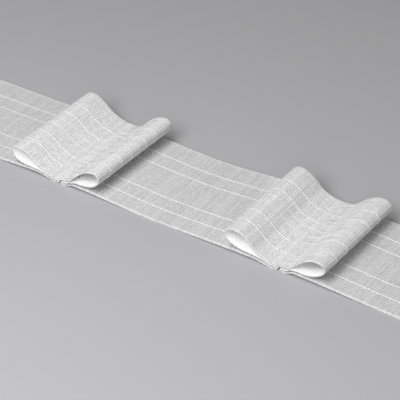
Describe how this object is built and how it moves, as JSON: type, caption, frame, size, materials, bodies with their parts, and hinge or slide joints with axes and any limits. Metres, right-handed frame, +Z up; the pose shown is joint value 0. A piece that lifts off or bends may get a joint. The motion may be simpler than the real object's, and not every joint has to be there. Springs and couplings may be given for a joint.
{
  "type": "pleated curtain heading tape",
  "caption": "Cut length of woven curtain heading tape with flat draw cords, lying flat with box pleats folded in it, each pleat two hollow wings over a tight crease.",
  "frame": {"origin": "middle of the tape's length and width, on the surface that it lies on", "axes": "+X along the tape, +Y across it towards the back edge, +Z up from the surface"},
  "size_m": [0.37, 0.075, 0.0174],
  "materials": {
    "woven_tape": "matt woven polyester, white, ribbed across",
    "draw_cord": "flat multifilament cord, white, slight sheen"
  },
  "bodies": {
    "root": {"tape": "woven_tape", "draw_cord_back_outer": "draw_cord", "draw_cord_back_inner": "draw_cord", "draw_cord_front_inner": "draw_cord", "draw_cord_front_outer": "draw_cord"}
  },
  "joints": []
}
